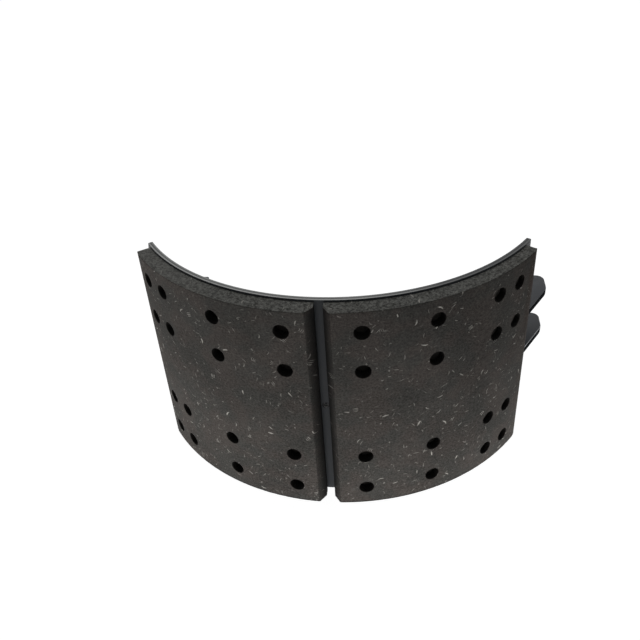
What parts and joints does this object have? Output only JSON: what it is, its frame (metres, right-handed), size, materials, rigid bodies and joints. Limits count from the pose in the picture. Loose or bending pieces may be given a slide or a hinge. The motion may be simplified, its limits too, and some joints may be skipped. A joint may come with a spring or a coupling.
{
  "type": "drum brake shoe",
  "caption": "Heavy drum brake shoe: curved steel table on two webs with an anchor hook and a roller seat, with riveted tapered friction linings.",
  "frame": {"origin": "middle of the shoe's box in plan, on the surface that the linings' side edges stand on", "axes": "+Z along the drum axis; the crown of the arc points to -Y; +X towards the anchor end"},
  "size_m": [0.387, 0.1864, 0.22],
  "materials": {
    "table_paint": "semi-gloss",
    "web_paint": "semi-gloss",
    "weld_paint": "semi-gloss",
    "lining": "matt, ground",
    "rivet_steel": "plated"
  },
  "bodies": {
    "root": {"shoe_table": "table_paint", "upper_web": "web_paint", "lower_web": "web_paint", "upper_web_outer_welds": "weld_paint", "upper_web_inner_welds": "weld_paint", "lower_web_inner_welds": "weld_paint", "lower_web_outer_welds": "weld_paint", "cam_end_lining": "lining", "anchor_end_lining": "lining", "cam_end_rivets_row_1": "rivet_steel", "cam_end_rivets_row_2": "rivet_steel", "cam_end_rivets_row_3": "rivet_steel", "cam_end_rivets_row_4": "rivet_steel", "anchor_end_rivets_row_1": "rivet_steel", "anchor_end_rivets_row_2": "rivet_steel", "anchor_end_rivets_row_3": "rivet_steel", "anchor_end_rivets_row_4": "rivet_steel"}
  },
  "joints": []
}
